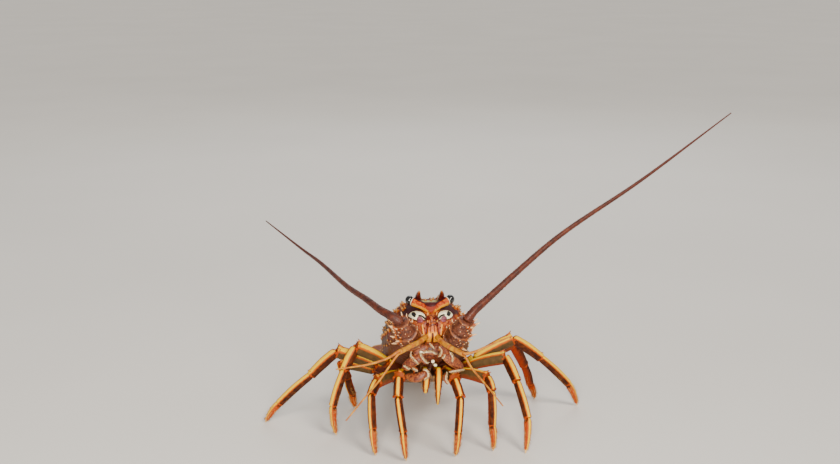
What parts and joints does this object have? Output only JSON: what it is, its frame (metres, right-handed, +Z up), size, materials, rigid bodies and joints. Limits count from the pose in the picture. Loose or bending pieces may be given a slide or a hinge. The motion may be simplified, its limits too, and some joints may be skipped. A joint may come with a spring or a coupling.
{
  "type": "spiny lobster",
  "caption": "Spiny lobster standing on its legs with head raised, forked horns over the eyes, long whip antennae held up and back, and a jointed tail ending in a flat fan.",
  "frame": {"origin": "centre of the model's bounding box, on the floor it stands on", "axes": "+Z up, head towards -Y, the animal's left side towards +X"},
  "size_m": [0.4486, 0.3686, 0.269],
  "materials": {
    "shell": "smooth horny shell, olive brown and crimson, half gloss",
    "horn": "dark red horn with tan tips, gloss",
    "face": "orange plates, half gloss",
    "eye": "black, high gloss",
    "stalk": "orange with pale bands, half gloss",
    "antenna": "brown orange spiny joints, half gloss",
    "whip": "dark red brown, ringed",
    "feeler": "bright orange, ringed",
    "leg": "maroon with a yellow orange stripe, half gloss",
    "mouth": "brown plates with hairy edges",
    "belly": "tan, half gloss",
    "tail": "maroon brown with pale cross lines, half gloss",
    "fan": "thin ribbed blades, brown orange"
  },
  "bodies": {
    "root": {"carapace": "shell", "face": "face", "horn_l": "horn", "horn_r": "horn", "eye_stalk_l": "stalk", "eye_stalk_r": "stalk", "eye_l": "eye", "eye_r": "eye", "mouth": "mouth", "breastplate": "belly", "mouth_leg_l": "leg", "mouth_leg_r": "leg", "antenna_l_base_1": "antenna", "antenna_l_base_2": "antenna", "antenna_l_base_3": "antenna", "antenna_l_whip_1": "whip", "antenna_l_whip_2": "whip", "antenna_r_base_1": "antenna", "antenna_r_base_2": "antenna", "antenna_r_base_3": "antenna", "antenna_r_whip_1": "whip", "antenna_r_whip_2": "whip", "antennule_l_stalk": "feeler", "antennule_l_outer": "feeler", "antennule_l_inner": "feeler", "antennule_r_stalk": "feeler", "antennule_r_outer": "feeler", "antennule_r_inner": "feeler", "leg_l1_upper": "leg", "leg_l1_lower": "leg", "leg_l2_upper": "leg", "leg_l2_lower": "leg", "leg_l3_upper": "leg", "leg_l3_lower": "leg", "leg_l4_upper": "leg", "leg_l4_lower": "leg", "leg_l5_upper": "leg", "leg_l5_lower": "leg", "leg_r1_upper": "leg", "leg_r1_lower": "leg", "leg_r2_upper": "leg", "leg_r2_lower": "leg", "leg_r3_upper": "leg", "leg_r3_lower": "leg", "leg_r4_upper": "leg", "leg_r4_lower": "leg", "leg_r5_upper": "leg", "leg_r5_lower": "leg", "tail_ring_1": "tail", "tail_ring_2": "tail", "tail_ring_3": "tail", "tail_ring_4": "tail", "tail_ring_5": "tail", "tail_ring_6": "tail", "tail_fan_middle": "fan", "tail_fan_inner_l": "fan", "tail_fan_inner_r": "fan", "tail_fan_outer_l": "fan", "tail_fan_outer_r": "fan"}
  },
  "joints": []
}
